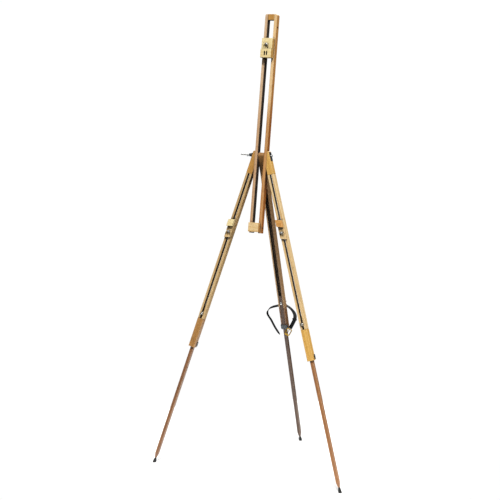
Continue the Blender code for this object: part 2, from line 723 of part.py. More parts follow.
def make_mast(hub, nut_mesh):
    mast = frame("mast_axis", hub, Matrix.Rotation(-MAST_LEAN, 4, "X"))
    gap, half, d, r = MAST_GAP / 2, MAST_HALF, RAIL_DEPTH / 2, MAST_CORNER
    for side, sign in (("left", -1), ("right", 1)):
        outline = [(gap, -MAST_DOWN), (half, -MAST_DOWN)]
        outline += arc((half - r, MAST_UP - r), r, 0, 90, 5) + [(gap, MAST_UP)]
        outline = [(sign * x, z) for x, z in outline]
        name = f"mast_{side}_rail"
        rail = flat_piece(name, [outline], RAIL_DEPTH, "Y", 0, mast, "beech_pale", edge=EDGE)
        middle = sign * (gap + RAIL_WIDTH / 2)
        bore = round_cutter(
            f"mast_{side}_bore", BUSH_BORE, 2 * RAIL_WIDTH, "X", (middle, 0, 0), mast
        )
        cut(rail, bore)
    between = gap - TOUCH
    low = (-between, -d, MAST_UP - TOP_BLOCK_HEIGHT)
    box("mast_top_block", low, (between, d, MAST_UP), mast, "beech_honey", edge=EDGE)
    base = -MAST_DOWN + FOOT_LEDGE_ABOVE_END
    ledge = half - FOOT_LEDGE_INSET
    low = (-ledge, -d - TOUCH - FOOT_LEDGE_DEPTH, base)
    high = (ledge, -d - TOUCH, base + FOOT_LEDGE_HEIGHT)
    box("mast_foot_ledge", low, high, mast, "beech_pale", edge=SOFT_EDGE)
    high = (between, -d + SPACER_DEPTH, base + FOOT_LEDGE_HEIGHT)
    box("mast_foot_spacer", (-between, -d, base), high, mast, "beech_honey", edge=EDGE)
    make_mast_clamp(mast, nut_mesh)


def make_mast_clamp(mast, nut_mesh):
    """The upper canvas clamp: a block and a lip in front of the rails, drawn to a plate behind."""
    height = CLAMP_BLOCK_BASE + CLAMP_BOLT_RISE
    slide = frame("mast_clamp_slide", mast, Matrix.Translation((0, 0, height)))
    d = RAIL_DEPTH / 2
    half = MAST_HALF - CLAMP_INSET
    front = -d - TOUCH
    low, high = -CLAMP_BOLT_RISE, CLAMP_BLOCK_HEIGHT - CLAMP_BOLT_RISE
    tongue = MAST_GAP / 2 - RUN
    plan = [(-half, front - CLAMP_BLOCK_DEPTH), (half, front - CLAMP_BLOCK_DEPTH), (half, front)]
    plan += [(tongue, front), (tongue, front + CLAMP_TONGUE_DEPTH)]
    plan += [(-tongue, front + CLAMP_TONGUE_DEPTH), (-tongue, front), (-half, front)]
    middle = (low + high) / 2
    block = flat_piece(
        "clamp_block", [plan], CLAMP_BLOCK_HEIGHT, "Z", middle, slide, "beech_pale", edge=SOFT_EDGE
    )
    cut(block, round_cutter("clamp_block_bore", BORE_RADIUS, 0.1, "Y", (0, 0, 0), slide))
    top = low - TOUCH
    lip_front = front - CLAMP_LIP_DEPTH
    lip = box(
        "clamp_lip",
        (-half, lip_front, top - CLAMP_LIP_HEIGHT),
        (half, front, top),
        slide,
        "beech_pale",
        edge=SOFT_EDGE,
    )
    screw_z = top - CLAMP_LIP_HEIGHT / 2
    r = LIP_SCREW_RADIUS
    for name, x in (("left", -LIP_SCREW_SPACING / 2), ("right", LIP_SCREW_SPACING / 2)):
        place = (x, lip_front, screw_z)
        hole = round_cutter(f"lip_{name}_hole", r + TOUCH, 0.012, "Y", place, slide)
        cut(lip, hole)
        profile = [(0, 0.0012), (r * 0.7, 0.0009), (r, 0), (r, -0.005), (0, -0.005)]
        screw = own(turned(f"clamp_{name}_screw", profile), slide, "steel")
        screw.location = place
        screw.rotation_euler = (math.pi / 2, 0, 0)
    back = d + TOUCH
    plate_half = BACK_PLATE_HEIGHT / 2
    plate = box(
        "clamp_back_plate",
        (-half, back, -plate_half),
        (half, back + BACK_PLATE_DEPTH, plate_half),
        slide,
        "beech_honey",
        edge=SOFT_EDGE,
    )
    cut(plate, round_cutter("clamp_plate_bore", BORE_RADIUS, 0.1, "Y", (0, 0, 0), slide))
    seat = front - CLAMP_BLOCK_DEPTH
    start = back + BACK_PLATE_DEPTH + TOUCH
    reach = start - seat + TOUCH + NUT_HEIGHT + BOLT_PAST_NUT
    bolt("clamp_bolt", reach, slide, (0, start, 0), (-math.pi / 2, 0, 0))
    turn = across_front(math.radians(-35))
    wing_nut("clamp_wing_nut", nut_mesh, slide, (0, seat - TOUCH, 0), turn)


# Hub ----------------------------------------------------------------------------------------


def bolt_seat():
    """Middle plane to the highest point of a head plate under the washer."""
    thick = LEG_WIDTH + TOUCH + SHEET
    slope = (PIVOT_DROP - WASHER_RADIUS) * math.tan(SPLAY)
    return PIVOT_X + thick / math.cos(SPLAY) - slope + TOUCH


def make_hub(hub):
    """The bush that everything turns on, and the long bolt that clamps it."""
    length = 2 * MAST_HALF - 2 * TOUCH
    ring = [(BUSH_INNER, length / 2), (BUSH_RADIUS, length / 2)]
    ring += [(BUSH_RADIUS, -length / 2), (BUSH_INNER, -length / 2)]
    bush = own(turned("hub_bush", ring, closed=True), hub, "steel")
    bush.rotation_euler = (0, math.pi / 2, 0)
    seat = bolt_seat()
    nut_seat = seat + WASHER_THICKNESS + TOUCH
    end = nut_seat + NUT_HEIGHT * HUB_NUT_SCALE + HUB_BOLT_SPARE
    bolt("hub_bolt", seat + end, hub, (seat, 0, 0), (0, math.pi / 2, 0))
    r, t = WASHER_RADIUS, WASHER_THICKNESS
    ring = [(BORE_RADIUS, t), (r, t), (r, 0), (BORE_RADIUS, 0)]
    washer = own(turned("hub_washer", ring, closed=True), hub, "steel")
    washer.location = (-seat, 0, 0)
    washer.rotation_euler = (0, -math.pi / 2, 0)
    turn = Matrix.Rotation(-math.pi / 2, 4, "Y") @ Matrix.Rotation(math.radians(80), 4, "Z")
    nut_mesh = make_wing_nut_mesh(HUB_NUT_SCALE)
    wing_nut("hub_wing_nut", nut_mesh, hub, (-nut_seat, 0, 0), turn.to_euler())


def main():
    for obj in list(bpy.data.objects):
        bpy.data.objects.remove(obj)
    for collection in (parts, cutters):
        bpy.context.scene.collection.children.link(collection)
    cutters.hide_render = True
    make_materials()
    make_floor_cutter()
    nut_mesh = make_wing_nut_mesh()
    hub = frame("hub", None, Matrix.Translation((0, HUB_Y, HUB_HEIGHT)))
    plane = frame("front_leg_plane", hub, Matrix.Rotation(-FRONT_LEAN, 4, "X"))
    make_hub(hub)
    make_mast(hub, nut_mesh)
    make_rear_leg(hub, nut_mesh)
    turns = {"left": (1.15, 0.25), "right": (-0.9, -0.35)}
    for side, sign in (("left", -1), ("right", 1)):
        make_front_leg(side, sign, plane, nut_mesh, turns[side])


main()
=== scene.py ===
"""Looks of the folding wooden field easel: grained beech, turned and bent metal, leather, rubber.

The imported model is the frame. Wooden nodes keep their shape and get a grain that runs along each
piece; the hardware, the rubber tips and the strap are rebuilt in detail where their nodes are.
"""

import json
import math

import bmesh
import bpy
from mathutils import Matrix, Vector

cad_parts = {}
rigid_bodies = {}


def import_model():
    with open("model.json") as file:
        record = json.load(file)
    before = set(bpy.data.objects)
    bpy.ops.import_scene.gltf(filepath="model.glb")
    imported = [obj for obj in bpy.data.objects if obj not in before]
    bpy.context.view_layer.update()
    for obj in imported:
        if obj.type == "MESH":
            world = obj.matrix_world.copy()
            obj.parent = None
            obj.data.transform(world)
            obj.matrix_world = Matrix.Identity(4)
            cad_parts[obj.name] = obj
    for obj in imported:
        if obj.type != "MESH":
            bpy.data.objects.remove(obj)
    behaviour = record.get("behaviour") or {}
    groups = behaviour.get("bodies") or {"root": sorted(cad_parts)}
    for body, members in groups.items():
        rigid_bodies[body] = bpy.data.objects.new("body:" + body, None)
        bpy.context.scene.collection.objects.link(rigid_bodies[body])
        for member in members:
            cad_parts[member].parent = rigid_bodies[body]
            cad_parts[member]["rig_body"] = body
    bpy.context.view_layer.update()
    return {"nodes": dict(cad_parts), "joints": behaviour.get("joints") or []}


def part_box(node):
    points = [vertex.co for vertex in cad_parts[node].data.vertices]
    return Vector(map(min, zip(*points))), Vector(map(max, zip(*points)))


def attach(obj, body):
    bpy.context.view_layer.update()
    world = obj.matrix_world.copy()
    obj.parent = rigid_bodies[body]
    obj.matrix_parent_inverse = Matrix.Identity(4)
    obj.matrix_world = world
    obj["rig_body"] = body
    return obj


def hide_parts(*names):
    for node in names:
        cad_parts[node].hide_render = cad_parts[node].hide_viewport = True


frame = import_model()

NODES = frame["nodes"]
JOINTS = {joint["name"]: joint for joint in frame["joints"]}
SIDES = ("left", "right", "rear")
FRONT_SIDES = SIDES[:2]

# Camera, from the hub's foot on the floor
HUB = Vector(JOINTS["mast_tilt"]["pos_m"])
CAMERA_DISTANCE = 5.300
CAMERA_AZIMUTH = math.radians(26.19)
CAMERA_HEIGHT = 1.773
CAMERA_TILT = math.radians(80.23)
CAMERA_TURN = math.radians(26.68)
CAMERA_LENS = 101.1
CAMERA_REACH = 100.0  # how far the camera sees
FLOOR_RADIUS = 0.85
FLOOR_DROP = 0.0002  # the paper lies this far below the feet

# Bolts and wing nuts, in metres like every size below
BOLT_RADIUS = 0.0025
BOLT_HEAD = 0.003  # height of its dome
THREAD_PITCH = 0.0008
THREAD_DEPTH = 0.00035
NUT_BORE = 0.0027
NUT_BASE_RADIUS = 0.0054
NUT_TOP_RADIUS = 0.0043
NUT_HEIGHT = 0.008
HUB_NUT_SCALE = 1.3
WASHER_BEVEL = 0.0003

# Slotted screws and nails
SCREW_SHAPE = 0.0011 / 0.0026  # height of the head for its radius
SCREW_SLOT = 0.0006
LIP_SCREW_RADIUS = 0.0031
LIP_SCREW_PROUD = 0.0012
LIP_WASHER = (0.0165, 0.0046, 0.0006)  # length, width and height
MAST_SCREW_RADIUS = 0.0030
MAST_SCREW_DROPS = {"mast_top_block": 0.038, "mast_foot_spacer": 0.0}  # below the block's middle
PLATE_SCREW_RADIUS = 0.0020
PLATE_SCREW_HEIGHTS = {"upper": 0.0125, "lower": 0.0045}  # above the plate's lower end
NAIL_RADIUS = 0.0012
NAIL_HEIGHTS = {"upper": 0.0050, "lower": -0.0050}  # from the guide's middle
NAIL_FORWARD = 0.0025

# Rubber tips
TIP_RIBS = 4
TIP_RIB_STEP = 0.0023
TIP_RIB_GROWTH = 0.00045

# Strap: the run of its middle line from the free tail over the screw to the buckle: across, back
# and up in metres, how much it still lies along the screw, and the twist of its face in degrees.
# It matches the frame's node.
STRAP_RUN = [
    (-0.0219, 0, -0.122, 0.0, 0),
    (-0.0425, 0, -0.095, 0.0, 0),
    (-0.0604, 0, -0.066, 0.0, 0),
    (-0.0740, 0, -0.048, 0.0, 0),
    (-0.0775, 0, -0.036, 0.0, 0),
    (-0.0710, 0, -0.0225, 0.3, 14),
    (-0.0560, 0, -0.0125, 0.7, 16),
    (-0.0250, 0, -0.0030, 1.0, 10),
    (0.0000, 0, 0.0000, 1.0, 0),
    (0.0160, 0, -0.0045, 0.6, 0),
    (0.0290, 0, -0.0135, 0.2, 8),
    (0.0400, -0.002, -0.0240, 0.0, 22),
    (0.0470, -0.005, -0.0360, 0.0, 40),
    (0.0480, -0.009, -0.0490, 0.0, 55),
    (0.0430, -0.013, -0.0640, 0.0, 62),
    (0.0320, -0.019, -0.0880, 0.0, 66),
]
STRAP_WIDTH = 0.015
STRAP_THICKNESS = 0.0022
STRAP_STEPS = 8  # between neighbouring points of the run
STRAP_PLAY = 0.0003  # between the strap and its screw
STRAP_BEHIND_LEG = 0.001
TAIL_TAPER = 0.016
TAIL_TIP = 0.25  # share of the width that is left at the tip
HOLE_ROWS = (10, 17, 24, 31, 38)
HOLE_RADIUS = 0.0016
HOLE_DEPTH = 0.004  # of the cutter, to each side of the middle line
KEEPER_ROW = -16
KEEPER_SIDES = 24
KEEPER_THICKNESS = 0.0012
KEEPER_WIDTH = 0.0052
STRAP_SCREW_RADIUS = 0.002
STRAP_SCREW_HEAD = 0.0042
BUCKLE_BAR = 0.0042
BUCKLE_WIDTH = 0.0235
BUCKLE_LENGTH = 0.026
BUCKLE_CORNER = 0.0035
BUCKLE_HINGE_CORNER = 0.0024
ROLLER_SCALE = 1.35  # its radius for the bar's
PRONG_RADIUS = 0.0012
PRONG_PLAY = 0.0002


# Materials ----------------------------------------------------------------------------------


def rgb(code):
    """Scene-linear colour of an sRGB hex code."""
    values = [int(code[i : i + 2], 16) / 255 for i in (1, 3, 5)]
    linear = [v / 12.92 if v <= 0.04045 else ((v + 0.055) / 1.055) ** 2.4 for v in values]
    return (*linear, 1.0)


class Nodes:
    """Short ways to add and link nodes in one tree."""

    def __init__(self, tree):
        self.tree = tree

    def add(self, kind, **settings):
        node = self.tree.nodes.new("ShaderNode" + kind)
        for key, value in settings.items():
            setattr(node, key, value)
        return node

    def put(self, socket, value):
        if isinstance(value, bpy.types.NodeSocket):
            self.tree.links.new(value, socket)
        else:
            socket.default_value = value

    def math(self, operation, a, b=0.0, clamp=False):
        node = self.add("Math", operation=operation, use_clamp=clamp)
        self.put(node.inputs[0], a)
        self.put(node.inputs[1], b)
        return node.outputs[0]

    def spread(self, value, low, high, to_low=0.0, to_high=1.0):
        """The value's span from low to high, mapped smoothly on to another."""
        node = self.add("MapRange", interpolation_type="SMOOTHSTEP")
        for socket, given in zip(node.inputs, (value, low, high, to_low, to_high)):
            self.put(socket, given)
        return node.outputs[0]

    def mix(self, factor, a, b, blend="MIX"):
        node = self.add("Mix", data_type="RGBA", blend_type=blend)
        self.put(node.inputs[0], factor)
        self.put(node.inputs[6], a)
        self.put(node.inputs[7], b)
        return node.outputs[2]

    def noise(self, vector, scale, detail=3.0, roughness=0.55):
        node = self.add("TexNoise")
        self.put(node.inputs["Vector"], vector)
        node.inputs["Scale"].default_value = scale
        node.inputs["Detail"].default_value = detail
        node.inputs["Roughness"].default_value = roughness
        return node.outputs[0]

    def stretch(self, vector, scale):
        node = self.add("Mapping")
        self.put(node.inputs["Vector"], vector)
        node.inputs["Scale"].default_value = scale
        return node.outputs[0]

    def height(self):
        """Height of a spot above the floor, with the object at rest."""
        node = self.add("SeparateXYZ")
        self.put(node.inputs[0], self.add("TexCoord").outputs["Object"])
        return node.outputs["Z"]

    def crevice(self, distance, samples=6):
        """1 in the open, towards 0 where other surfaces stand close."""
        node = self.add("AmbientOcclusion", samples=samples)
        node.inputs["Distance"].default_value = distance
        return node.outputs["AO"]

    def facing(self, direction, low=0.80, high=0.97):
        """1 on faces that point in a direction fixed to the object. Low and high are cosines."""
        dot = self.add("VectorMath", operation="DOT_PRODUCT")
        self.put(dot.inputs[0], self.add("TexCoord").outputs["Normal"])
        self.put(dot.inputs[1], tuple(direction))
        return self.spread(dot.outputs["Value"], low, high)

    def edge(self, radius, samples=4):
        """1 on sharp edges, 0 on the flat."""
        soft = self.add("Bevel", samples=samples)
        soft.inputs["Radius"].default_value = radius
        true = self.add("NewGeometry")
        dot = self.add("VectorMath", operation="DOT_PRODUCT")
        self.put(dot.inputs[0], soft.outputs[0])
        self.put(dot.inputs[1], true.outputs["Normal"])
        return self.spread(dot.outputs["Value"], 0.99, 0.80)


def new_material(name):
    made = bpy.data.materials.new(name)
    made.use_nodes = True
    tree = Nodes(made.node_tree)
    return made, tree, made.node_tree.nodes["Principled BSDF"]


def bump(tree, shader, height, strength, distance):
    node = tree.add("Bump")
    node.inputs["Strength"].default_value = strength
    node.inputs["Distance"].default_value = distance
    tree.put(node.inputs["Height"], height)
    tree.put(shader.inputs["Normal"], node.outputs[0])


# Light wood, dark grain and pore colours of each tone
TONES = {
    "rose": ("#dfc39e", "#c09a74", "#7d573c"),
    "cream": ("#efd5a4", "#cfa066", "#8a5a2a"),
    "straw": ("#f6deae", "#c59a58", "#7d5424"),
    "sand": ("#dcc08e", "#b48c54", "#765228"),
    "butter": ("#f6e6b4", "#dfc483", "#a5803f"),
    "orange": ("#e2ac62", "#c08440", "#7a4a1c"),
    "honey": ("#e4b869", "#c4923f", "#80551f"),
    "amber": ("#cf9d53", "#a87530", "#664017"),
    "toffee": ("#bb8c52", "#956939", "#573a1b"),
    "tan_leg": ("#ad7a4c", "#835634", "#4a2d18"),
    "dusk_leg": ("#966a48", "#6d4930", "#3c2717"),
    # The rear leg's tones are darker than the front legs' as painted shade; its right rail is
    # lighter as painted light
    "rear_rail": ("#bd976b", "#8f6a44", "#4e3620"),
    "rear_rail_lit": ("#efcd9c", "#c39664", "#785434"),
    "rear_block": ("#9a6f45", "#6c4626", "#3a2514"),
    "rear_head": ("#b08350", "#7d5426", "#432a12"),
    "rear_leg": ("#62432c", "#422b1c", "#20140d"),
}
WORN_AND_HIGHLIGHT = "#f6e6c2"
# Colour of the painted shade in crevices and on inward faces
PAINTED_SHADE_COLOUR = "#0d0805"
FLANK_SHADE_TINT = "#e0c094"
LOWER_TINT = "#d8bca0"
LOWER_HEIGHTS = (1.47, 1.33)  # the mast darkens between them, and stays darker below
CREVICE_DISTANCE = 0.030
EDGE_WEAR_AND_HIGHLIGHT = 0.0012


def wood(name, tone, grain, seed, inward=None, flank=None, lower_darkening=0.0):
    """Lacquered beech. The grain matrix turns object space so that Z runs along the fibres.

    Faces that point inward are painted dark as shade; faces that point along flank are painted
    darker and more golden, as shade on the sides.
    The lower_darkening is how far the piece darkens below the LOWER_HEIGHTS.
    """
    made, tree, shader = new_material(name)
    light, dark, pore = (rgb(code) for code in TONES[tone])
    place = tree.add("Mapping")
    tree.put(place.inputs["Vector"], tree.add("TexCoord").outputs["Object"])
    place.inputs["Rotation"].default_value = grain.to_euler("XYZ")
    place.inputs["Location"].default_value = (0.37 * seed, 0.23 * seed, 0.61 * seed)
    local = place.outputs[0]

    drift = tree.noise(tree.stretch(local, (1.0, 1.0, 0.10)), 18.0, 2.0)
    rings = tree.add("TexWave", wave_type="BANDS", bands_direction="DIAGONAL", wave_profile="SAW")
    tree.put(rings.inputs["Vector"], tree.stretch(local, (1.0, 0.35, 0.018)))
    rings.inputs["Scale"].default_value = 34.0
    rings.inputs["Distortion"].default_value = 5.0
    rings.inputs["Detail"].default_value = 2.0
    rings.inputs["Detail Scale"].default_value = 1.6
    fibres = tree.noise(tree.stretch(local, (1.0, 1.0, 0.022)), 620.0, 4.0, 0.65)
    flecks = tree.noise(tree.stretch(local, (1.0, 1.0, 0.10)), 900.0, 1.0, 0.4)
    flecks = tree.spread(flecks, 0.60, 0.72)
    stain = tree.noise(local, 26.0, 3.0)

    depth = tree.math("MULTIPLY", rings.outputs["Fac"], 0.42)
    depth = tree.math("ADD", depth, tree.math("MULTIPLY", tree.spread(fibres, 0.30, 0.72), 0.46))
    depth = tree.math("ADD", depth, tree.math("MULTIPLY", drift, 0.30), clamp=True)
    colour = tree.mix(depth, light, dark)
    colour = tree.mix(tree.math("MULTIPLY", flecks, 0.55), colour, pore)
    colour = tree.mix(tree.spread(stain, 0.50, 0.78, 0.0, 0.25), colour, pore)
    # Pale edges: partly worn lacquer, partly a painted highlight along the edges
    rub = tree.math("MULTIPLY", tree.edge(EDGE_WEAR_AND_HIGHLIGHT), tree.spread(stain, 0.30, 0.62, 0.15, 0.60))
    colour = tree.mix(rub, colour, rgb(WORN_AND_HIGHLIGHT))
    # Painted shade: the outer sides of the mast's pieces are darker and more golden than their
    # fronts
    if flank is not None:
        shaded_flank = tree.mix(1.0, colour, rgb(FLANK_SHADE_TINT), "MULTIPLY")
        colour = tree.mix(tree.facing(flank), colour, shaded_flank)
    if lower_darkening:
        amount = tree.spread(tree.height(), *LOWER_HEIGHTS, 0.0, lower_darkening)
        colour = tree.mix(amount, colour, tree.mix(1.0, colour, rgb(LOWER_TINT), "MULTIPLY"))
    # Painted shade: the wood darkens where other surfaces stand close, in slots, between rails and
    # under ledges
    dark_mask = tree.spread(tree.crevice(CREVICE_DISTANCE), 0.88, 0.50, 0.0, 0.93)
    if inward is not None:
        # Painted shade: rail faces that point inward, towards the other rail, are darkened as if in
        # shadow
        inward_shade = tree.math("MULTIPLY", tree.facing(inward, 0.30, 0.70), 0.95)
        dark_mask = tree.math("MAXIMUM", dark_mask, inward_shade)
    colour = tree.mix(dark_mask, colour, rgb(PAINTED_SHADE_COLOUR))
    tree.put(shader.inputs["Base Color"], colour)

    rough = tree.spread(fibres, 0.2, 0.8, 0.34, 0.52)
    tree.put(shader.inputs["Roughness"], tree.math("ADD", rough, tree.math("MULTIPLY", dark_mask, 0.3)))
    shader.inputs["Coat Weight"].default_value = 0.25
    shader.inputs["Coat Roughness"].default_value = 0.22
    shader.inputs["Specular IOR Level"].default_value = 0.45
    height = tree.math("SUBTRACT", fibres, tree.math("MULTIPLY", flecks, 0.6))
    bump(tree, shader, height, 0.55, 0.00025)
    return made


def metal(name, bright, dull, roughness, scratch=1.0):
    """Plated metal: cloudy dulling, fine scratches, bright edges and a darker colour in the
    corners.
    """
    made, tree, shader = new_material(name)
    local = tree.add("TexCoord").outputs["Object"]
    cloud = tree.noise(local, 240.0, 4.0, 0.6)
    lines = tree.noise(tree.stretch(local, (1.0, 0.08, 1.0)), 2600.0, 2.0)
    colour = tree.mix(tree.spread(cloud, 0.35, 0.70), rgb(bright), rgb(dull))
    colour = tree.mix(tree.math("MULTIPLY", tree.edge(0.0005), 0.6), colour, rgb(bright))
    # Darker where other surfaces stand within 4 mm
    dark_mask = tree.spread(tree.crevice(0.004), 0.75, 0.25, 0.0, 0.8)
    colour = tree.mix(dark_mask, colour, rgb("#15130f"))
    tree.put(shader.inputs["Base Color"], colour)
    shader.inputs["Metallic"].default_value = 1.0
    rough = tree.spread(cloud, 0.3, 0.8, roughness, roughness + 0.18)
    rough = tree.math("ADD", rough, tree.math("MULTIPLY", lines, 0.10 * scratch))
    tree.put(shader.inputs["Roughness"], rough)
    bump(tree, shader, lines, 0.25 * scratch, 0.00008)
    return made


def leather(name):
    """Black harness leather: pebbled grain, pale rubbed edges."""
    made, tree, shader = new_material(name)
    local = tree.add("TexCoord").outputs["Object"]
    pebble = tree.add("TexVoronoi", feature="SMOOTH_F1")
    tree.put(pebble.inputs["Vector"], local)
    pebble.inputs["Scale"].default_value = 1100.0
    pores = pebble.outputs["Distance"]
    wear = tree.noise(local, 130.0, 4.0, 0.6)
    colour = tree.mix(tree.spread(wear, 0.40, 0.75), rgb("#06090b"), rgb("#12181b"))
    rub = tree.math("MULTIPLY", tree.edge(0.0009), tree.spread(wear, 0.3, 0.7, 0.2, 0.8))
    colour = tree.mix(rub, colour, rgb("#2c2b2a"))
    tree.put(shader.inputs["Base Color"], colour)
    tree.put(shader.inputs["Roughness"], tree.spread(wear, 0.3, 0.8, 0.42, 0.66))
    shader.inputs["Specular IOR Level"].default_value = 0.25
    bump(tree, shader, pores, 0.5, 0.00020)
    return made


def rubber(name):
    """Black moulded rubber with a bloom of floor dust low down."""
    made, tree, shader = new_material(name)
    local = tree.add("TexCoord").outputs["Object"]
    speck = tree.noise(local, 900.0, 3.0)
    dust = tree.spread(tree.height(), 0.008, 0.0, 0.0, 0.55)
    dust = tree.math("MULTIPLY", dust, tree.spread(speck, 0.40, 0.70))
    colour = tree.mix(dust, rgb("#050607"), rgb("#3a3630"))
    tree.put(shader.inputs["Base Color"], colour)
    tree.put(shader.inputs["Roughness"], tree.spread(speck, 0.2, 0.8, 0.55, 0.85))
    bump(tree, shader, speck, 0.45, 0.00020)
    return made


# Shapes -------------------------------------------------------------------------------------


def ring(radius, z, sides=28, turn=0.0):
    step = 2 * math.pi / sides
    return [
        Vector((radius * math.cos(turn + i * step), radius * math.sin(turn + i * step), z))
        for i in range(sides)
    ]


def skin(bm, rings, loop=False):
    """Faces between successive rings of points. Open rows are closed by a cap at each end."""
    made = [[bm.verts.new(point) for point in row] for row in rings]
    count = len(rings[0])
    rows = list(zip(made, made[1:])) + ([(made[-1], made[0])] if loop else [])
    for low, high in rows:
        for i in range(count):
            j = (i + 1) % count
            bm.faces.new((low[i], low[j], high[j], high[i]))
    if not loop:
        bm.faces.new(made[0][::-1])
        bm.faces.new(made[-1])


def turned(profile, loop=False, sides=28):
    """A bmesh of a (radius, height) profile turned about Z."""
    bm = bmesh.new()
    skin(bm, [ring(radius, z, sides) for radius, z in profile], loop)
    return bm


def oblong(length, width, height, sides=24):
    """A flat bar with round ends and a chamfered top, its length along X, standing on Z = 0."""
    bm = bmesh.new()
    rows = []
    for inset, z in ((0.0, -height), (0.0, height * 0.5), (height * 0.5, height)):
        r = width / 2 - inset
        row = ring(r, z, sides, math.pi / sides)
        rows.append([p + Vector((math.copysign((length - width) / 2, p.x), 0, 0)) for p in row])
    skin(bm, rows)
    return bm


def curve_through(points, steps):
    """A Catmull-Rom curve through the points, with steps between neighbours."""
    rows = [Vector(p) for p in points]
    rows = [2 * rows[0] - rows[1], *rows, 2 * rows[-1] - rows[-2]]
    made = []
    for a, b, c, d in zip(rows, rows[1:], rows[2:], rows[3:]):
        for i in range(steps):
            t = i / steps
            made.append(
                0.5 * (2 * b + (c - a) * t + (2 * a - 5 * b + 4 * c - d) * t**2)
                + 0.5 * (3 * b - a - 3 * c + d) * t**3
            )
    made.append(rows[-2])
    return made


def tube(bm, path, radii, loop=False, sides=12):
    """A round bar along a path of points, one radius for each."""
    count = len(path)
    side = None
    rows = []
    for i, point in enumerate(path):
        before = path[(i - 1) % count] if loop else path[max(i - 1, 0)]
        after = path[(i + 1) % count] if loop else path[min(i + 1, count - 1)]
        along = (after - before).normalized()
        if side is None:
            side = along.orthogonal()
        side = (side - along * side.dot(along)).normalized()
        up = along.cross(side)
        r = radii[i]
        step = 2 * math.pi / sides
        turns = [k * step for k in range(sides)]
        rows.append([point + r * (side * math.cos(a) + up * math.sin(a)) for a in turns])
    skin(bm, rows, loop)


def piece(name, bm, look, body, stands_for=(), place=None, sharp=32.0):
    """A finished mesh object, placed, given its finish and riding on its body."""
    bmesh.ops.recalc_face_normals(bm, faces=bm.faces)
    mesh = bpy.data.meshes.new(name)
    bm.to_mesh(mesh)
    bm.free()
    if place is not None:
        mesh.transform(place)
    mesh.shade_smooth()
    mesh.set_sharp_from_angle(angle=math.radians(sharp))
    mesh.materials.append(look)
    obj = bpy.data.objects.new(name, mesh)
    bpy.context.scene.collection.objects.link(obj)
    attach(obj, body)
    if stands_for:
        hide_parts(*stands_for)
    return obj


def carve(bm, cutters):
    """The bmesh with the cutters' bmeshes cut out of it."""
    scene = bpy.context.scene.collection
    objects = []
    for shape in (bm, *cutters):
        bmesh.ops.recalc_face_normals(shape, faces=shape.faces)
        mesh = bpy.data.meshes.new("carving")
        shape.to_mesh(mesh)
        shape.free()
        objects.append(bpy.data.objects.new("carving", mesh))
        scene.objects.link(objects[-1])
    for tool in objects[1:]:
        cut = objects[0].modifiers.new("cut", "BOOLEAN")
        cut.operation, cut.solver, cut.object = "DIFFERENCE", "EXACT", tool
    done = objects[0].evaluated_get(bpy.context.evaluated_depsgraph_get())
    made = bmesh.new()
    made.from_mesh(bpy.data.meshes.new_from_object(done))
    for obj in objects:
        bpy.data.objects.remove(obj)
    return made


def block(size, place=None):
    bm = bmesh.new()
    bmesh.ops.create_cube(bm, size=1.0)
    bmesh.ops.scale(bm, vec=size, verts=bm.verts)
    if place is not None:
        bmesh.ops.transform(bm, matrix=place, verts=bm.verts)
    return bm


# Places, read from the frame ----------------------------------------------------------------


def axes_frame(origin, z, x_hint):
    """A matrix at the origin whose Z is z and whose X is as near x_hint as it can be."""
    z = Vector(z).normalized()
    x = Vector(x_hint)
    x = (x - z * x.dot(z)).normalized()
    made = Matrix((x, z.cross(x), z)).transposed().to_4x4()
    made.translation = origin
    return made


def corners(node):
    return [v.co for v in NODES[node].data.vertices]


def middle_of(node):
    low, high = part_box(node)
    return (Vector(low) + Vector(high)) / 2


def end_centre(node, axis, depth):
    """The middle of the corners that lie within a depth of a node's end, along an axis."""
    middle = middle_of(node)
    top = max((p - middle).dot(axis) for p in corners(node))
    rim = [p for p in corners(node) if (p - middle).dot(axis) > top - depth]
    return sum(rim, Vector()) / len(rim)


def span(node, origin, axis):
    """Where a node starts and ends along an axis, and the furthest it reaches from it."""
    heights = [(p - origin).dot(axis) for p in corners(node)]
    reach = max(((p - origin) - axis * (p - origin).dot(axis)).length for p in corners(node))
    return min(heights), max(heights), reach


def extent(node, axis):
    """Where a node starts and ends along an axis through the origin."""
    heights = [p.dot(axis) for p in corners(node)]
    return min(heights), max(heights)


def far_side(node, origin, axis):
    """The direction, square to the axis, in which a node reaches furthest from it."""
    offsets = [(p - origin) - axis * (p - origin).dot(axis) for p in corners(node)]
    return max(offsets, key=lambda offset: offset.length)


def body(node):
    return NODES[node]["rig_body"]


def stick_frame(side):
    """(along, face): up a leg or the mast, and out of the face that carries its wing nut."""
    slide = "mast_clamp_slide" if side == "mast" else f"{side}_leg_extend"
    turn = "mast_clamp_nut_turn" if side == "mast" else f"{side}_clamp_nut_turn"
    return Vector(JOINTS[slide]["axis"]), Vector(JOINTS[turn]["axis"])


# Hardware -----------------------------------------------------------------------------------


